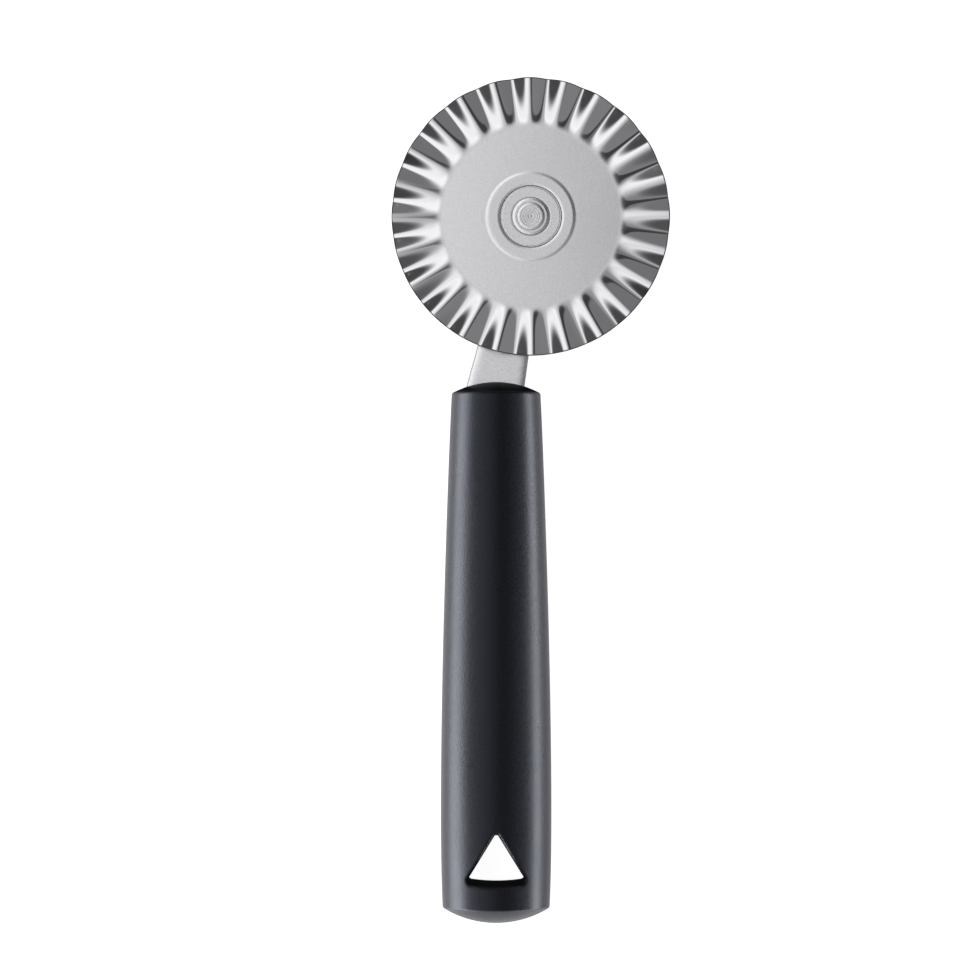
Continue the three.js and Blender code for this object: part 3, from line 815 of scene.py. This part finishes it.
def bush_material():
    m, nt, b = nodes_of("bush_ivory_plastic")
    vec = object_coords(nt)
    fine = noise(nt, vec, 1800.0, 2.0, 0.5)
    nt.links.new(tint(nt, fine, (0.72, 0.70, 0.64), (0.80, 0.78, 0.73)), b.inputs["Base Color"])
    nt.links.new(ramp_range(nt, fine, 0.3, 0.7, 0.42, 0.52, "LINEAR"), b.inputs["Roughness"])
    nt.links.new(bump(nt, fine, 0.1, 0.00002), b.inputs["Normal"])
    return m


M_DISC = disc_material()
# painted shade: the rim's edge faces get a dark steel colour, drawing the dark outline round the wheel; only their
# higher roughness is the cut edge's own
M_CUT = steel_material("disc_cut_edge_painted_dark", (0.20, 0.20, 0.21), (0.30, 0.30, 0.31), 0.45, 0.6, 3000.0, 0.5)
M_ARM = steel_material("arm_steel_satin", (0.91, 0.91, 0.92), (1.0, 1.0, 1.0), 0.23, 0.32, 5200.0, 0.3)
M_AXLE = steel_material("axle_steel_turned", (0.82, 0.82, 0.83), (0.95, 0.95, 0.955), 0.18, 0.27, 4200.0, 0.5, rings=5200.0)
M_WASHER = steel_material("washer_steel_satin", (0.91, 0.91, 0.92), (1.0, 1.0, 1.0), 0.23, 0.32, 5200.0, 0.3, rings=3000.0)
M_HANDLE = handle_material()
M_BUSH = bush_material()

# ---------------------------------------------------------------- pieces
v, f, cut = disc()
piece("fluted_disc", v, f, "wheel", "wheel_disc", M_DISC, sharp=60, second=M_CUT, marked=cut)
prof = fillet([(3.1, -0.7, 0.08), (5.4, -0.7, 0.08), (5.4, -0.45, 0.06), (4.12, -0.45, 0.05), (4.12, 0.41, 0.06), (3.1, 0.41, 0.06)], 3)
v, f = lathe(prof, 96, True)
piece("bush", v + AXLE, f, "wheel", "bearing_bush", M_BUSH, sharp=50)
prof = fillet([(3.1, 0.45, 0.05), (6.35, 0.45, 0.05), (6.35, 0.8, 0.14), (6.1, 0.8, 0), (5.0, 0.8, 0), (4.5, 0.8, 0), (4.14, 0.8, 0.03), (4.1, 0.5, 0.03), (3.1, 0.5, 0.02)], 5)
v, f = lathe(prof, 144, True)
piece("washer_front", v + AXLE, f, "handle", "front_washer", M_WASHER, sharp=50)
prof = fillet([(3.0, 0.84, 0.02), (3.98, 0.84, 0.04), (3.98, 1.585, 0.05), (3.44, 1.7, 0.1), (3.34, 1.7, 0), (3.06, 1.7, 0), (3.0, 1.7, 0.02)], 6)
v, f = lathe(prof, 144, True)
piece("collar", v + AXLE, f, "handle", "retaining_collar", M_AXLE, sharp=50)
prof = fillet([(3.15, -3.35, 0.1), (6.0, -3.35, 0.15), (6.0, -0.75, 0.15), (3.15, -0.75, 0.1)], 4)
v, f = lathe(prof, 96, True)
piece("spacer_rear", v + AXLE, f, "handle", "rear_spacer", M_WASHER, sharp=50)


def axle():
    back = ARM_FRONT - ARM_T
    pts = [(0, back - 0.95)]
    for k in range(1, 9):  # peened head, a low dome
        a = math.pi / 2 * k / 9
        pts.append((3.1 * math.sin(a), back - 0.25 - 0.7 * math.cos(a)))
    pts += [(3.24, back - 0.2), (3.3, back - 0.12), (3.26, back - 0.05), (2.0, back - 0.05), (2.0, ARM_FRONT + 0.05), (2.05, ARM_FRONT + 0.05), (2.95, ARM_FRONT + 0.05),
            (3.0, ARM_FRONT + 0.1), (3.0, 0.78), (2.985, 0.82), (2.985, 1.83), (2.97, 1.872), (2.935, 1.898), (2.88, 1.918), (2.80, 1.937), (2.70, 1.957), (2.61, 1.972), (2.53, 1.980), (2.45, 1.981)]
    r = 2.38
    while r > 0.34:  # tool marks across the faced end
        pts.append((r, 1.99 - 0.0032 * (1 + math.cos(2 * math.pi * r / 0.52)) - 0.006 * (2.6 - r)))
        r -= 0.26 / 5
    pts += [(0.30, 1.955), (0.24, 1.965), (0.16, 2.02), (0.08, 2.05), (0, 2.06)]
    return lathe(pts, 128, False)


v, f = axle()
piece("axle_pin", v + AXLE, f, "handle", "stub_axle", M_AXLE, sharp=50)
v, f = arm()
piece("arm", v, f, "handle", "tool_arm", M_ARM, sharp=50)
v, f = handle()
grip = piece("grip", v, f, "handle", "handle_grip", M_HANDLE, sharp=60)

# ---------------------------------------------------------------- stage: pale floor, soft panels, sky
def floor():
    me = bpy.data.meshes.new("floor")
    s = 6.0
    me.from_pydata([(-s, -s, 0), (s, -s, 0), (s, s, 0), (-s, s, 0)], [], [(0, 1, 2, 3)])
    ob = bpy.data.objects.new("floor", me)
    bpy.context.scene.collection.objects.link(ob)
    ob.location.z = -0.0002
    m, nt, b = nodes_of("floor_white")
    b.inputs["Base Color"].default_value = (0.9, 0.9, 0.9, 1)
    b.inputs["Roughness"].default_value = 0.9
    b.inputs["Specular IOR Level"].default_value = 0.1
    b.inputs["Emission Color"].default_value = (1, 1, 1, 1)
    b.inputs["Emission Strength"].default_value = 0.95
    me.materials.append(m)
    ob.visible_glossy = False
    ob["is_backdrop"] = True
    return ob


floor()


def panel(name, loc, target, sx, sy, radiance, color=(1, 1, 1)):
    la = bpy.data.lights.new(name, "AREA")
    la.shape = "RECTANGLE"
    la.size, la.size_y = sx, sy
    la.energy = radiance * math.pi * sx * sy
    la.color = color
    ob = bpy.data.objects.new(name, la)
    bpy.context.scene.collection.objects.link(ob)
    ob.location = loc
    ob.rotation_euler = (Vector(target) - Vector(loc)).to_track_quat("-Z", "Y").to_euler()
    ob.visible_camera = False
    return ob


# soft strips beside the handle, which is too dark to show the room's own light
dark_only = bpy.data.collections.new("lit_by_strips")
dark_only.objects.link(grip)
for strip_light in (
    panel("wall_low", (-0.50, -0.325, 0.055), (0, -0.325, 0.055), 1.35, 0.11, 14.0),
    panel("wall_foot", (-0.495, -0.46, 0.045), (0, -0.46, 0.045), 0.66, 0.09, 17.0),
    panel("wall_mid", (-0.49, -0.325, 0.165), (0, -0.325, 0.12), 1.35, 0.11, 2.2),
    panel("right", (0.50, -0.20, 0.027), (0, -0.20, 0.027), 0.9, 0.054, 16.6),
    panel("right_foot", (0.495, -0.46, 0.027), (0, -0.46, 0.027), 0.66, 0.054, 4.0),
    panel("table_left", (-0.31, -0.275, 0.002), (-0.31, -0.275, 1.0), 0.50, 1.05, 11.9),
    panel("table_right", (0.31, -0.275, 0.002), (0.31, -0.275, 1.0), 0.50, 1.05, 12.4),
    panel("near_left", (-0.0405, -0.1775, 0.0015), (-0.0405, -0.1775, 1.0), 0.039, 0.445, 1.15),
    panel("near_right", (0.03325, -0.1775, 0.0015), (0.03325, -0.1775, 1.0), 0.0535, 0.445, 0.86),
    panel("near_end", (-0.007, -0.294, 0.001), (-0.007, -0.294, 1.0), 0.5, 0.40, 1.05),
):
    strip_light.light_linking.receiver_collection = dark_only

world = bpy.data.worlds.new("studio_sky")
bpy.context.scene.world = world
world.use_nodes = True
wt = world.node_tree
bg = wt.nodes["Background"]
tc = wt.nodes.new("ShaderNodeTexCoord")
sep = wt.nodes.new("ShaderNodeSeparateXYZ")
wt.links.new(tc.outputs["Generated"], sep.inputs[0])
# the room: bright all over one side, from near overhead to the table, dim on the other
dx, dy, dz = sep.outputs["X"], sep.outputs["Y"], sep.outputs["Z"]
far_edge = ramp_range(wt, dx, -0.22, 0.20, 1.0, 0.0)
near_edge = ramp_range(wt, dx, -0.48, 0.40, 1.0, 0.0)
far_side = ramp_range(wt, dy, -0.12, 0.08, 0.0, 1.0)
edge_mix = math_node(wt, "ADD", math_node(wt, "MULTIPLY", far_edge, far_side), math_node(wt, "MULTIPLY", near_edge, math_node(wt, "SUBTRACT", 1.0, far_side)))
low_far = ramp_range(wt, dy, 0.5, 0.95, 1.0, 0.45)
low_near = ramp_range(wt, dy, -0.9, -0.5, 0.3, 1.0)
low = ramp_range(wt, dz, 0.44, 0.80, 0.0, 1.0)
lit = math_node(wt, "MULTIPLY", math_node(wt, "MULTIPLY", edge_mix, low), math_node(wt, "MULTIPLY", low_far, low_near))
dim = math_node(wt, "MULTIPLY", ramp_range(wt, dy, 0.0, 0.4, 0.215, 0.18), math_node(wt, "MULTIPLY", ramp_range(wt, dx, -0.5, 0.0, 0.35, 1.0), ramp_range(wt, dy, -0.9, -0.55, 0.4, 1.0)))
# a dark stand a little off the overhead point
off_x, off_y = math_node(wt, "SUBTRACT", dx, 0.30), math_node(wt, "SUBTRACT", dy, 0.15)
along = math_node(wt, "DIVIDE", math_node(wt, "ADD", off_x, off_y), 0.39)
across = math_node(wt, "DIVIDE", math_node(wt, "SUBTRACT", off_x, off_y), 0.26)
reach = math_node(wt, "SQRT", math_node(wt, "ADD", math_node(wt, "MULTIPLY", along, along), math_node(wt, "MULTIPLY", across, across)))
stand = ramp_range(wt, reach, 0.75, 1.15, 0.22, 1.0)
above = ramp_range(wt, dz, -0.06, 0.06, 0.0, 1.0)
room = math_node(wt, "MULTIPLY", math_node(wt, "ADD", dim, math_node(wt, "MULTIPLY", lit, 0.90)), stand)
sky = math_node(wt, "ADD", math_node(wt, "MULTIPLY", math_node(wt, "SUBTRACT", room, 0.012), above), 0.012)
tone = wt.nodes.new("ShaderNodeCombineXYZ")
for k in range(2):
    wt.links.new(sky, tone.inputs[k])
wt.links.new(math_node(wt, "MULTIPLY", sky, 1.025), tone.inputs[2])
wt.links.new(tone.outputs[0], bg.inputs["Color"])
bg.inputs["Strength"].default_value = 1.0

# ---------------------------------------------------------------- camera
PX = 0.2155 * MM  # one pixel of the 980 x 980 image at the disc
DIST = 1.220
cam_data = bpy.data.cameras.new("camera")
cam = bpy.data.objects.new("camera", cam_data)
bpy.context.scene.collection.objects.link(cam)
cam_data.sensor_width = 36.0
cam_data.sensor_fit = "HORIZONTAL"
cam_data.lens = 36.0 * DIST / (980 * PX)
cam.location = (-40.8 * PX, AXLE[1] * MM - 273.5 * PX, AXLE[2] * MM + DIST)
cam.rotation_euler = (0, 0, 0)
cam_data.clip_start, cam_data.clip_end = 0.05, 20
bpy.context.scene.camera = cam
bpy.context.scene.view_settings.view_transform = "Standard"

low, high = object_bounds()
